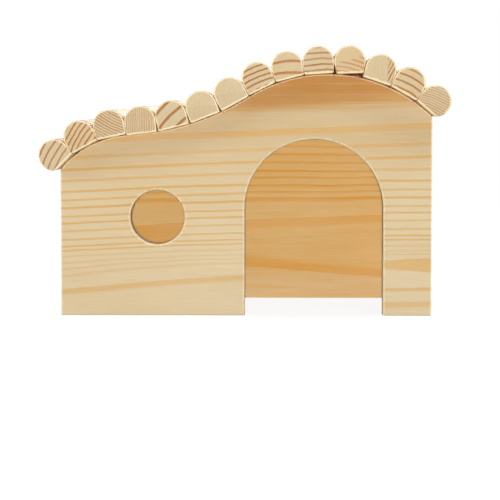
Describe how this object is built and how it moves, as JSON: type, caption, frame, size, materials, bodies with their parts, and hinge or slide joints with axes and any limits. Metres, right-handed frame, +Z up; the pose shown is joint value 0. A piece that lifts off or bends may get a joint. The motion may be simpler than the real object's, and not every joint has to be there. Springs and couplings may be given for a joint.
{
  "type": "small pet hide house",
  "caption": "Open-bottomed pine hide for a hamster: two hump-outlined boards, two low walls, an arched doorway, a round window and a roof of round-topped slats.",
  "frame": {"origin": "on the floor, under the middle of the outer box of the whole house", "axes": "+X to the right seen from the front, +Y from the front board to the back board, +Z up"},
  "size_m": [0.1638, 0.1, 0.1086],
  "materials": {
    "front_pine": "planed and sanded, bare",
    "back_pine": "planed and sanded, bare",
    "side_pine": "planed and sanded, bare",
    "slat_pine": "moulded and sanded, bare",
    "brad_steel": "bright wire"
  },
  "bodies": {
    "root": {"front_panel": "front_pine", "back_panel": "back_pine", "left_side_wall": "side_pine", "right_side_wall": "side_pine", "roof_slat_01": "slat_pine", "roof_slat_02": "slat_pine", "roof_slat_03": "slat_pine", "roof_slat_04": "slat_pine", "roof_slat_05": "slat_pine", "roof_slat_06": "slat_pine", "roof_slat_07": "slat_pine", "roof_slat_08": "slat_pine", "roof_slat_09": "slat_pine", "roof_slat_10": "slat_pine", "roof_slat_11": "slat_pine", "roof_slat_12": "slat_pine", "roof_slat_13": "slat_pine", "roof_slat_14": "slat_pine", "roof_brads": "brad_steel"}
  },
  "joints": []
}
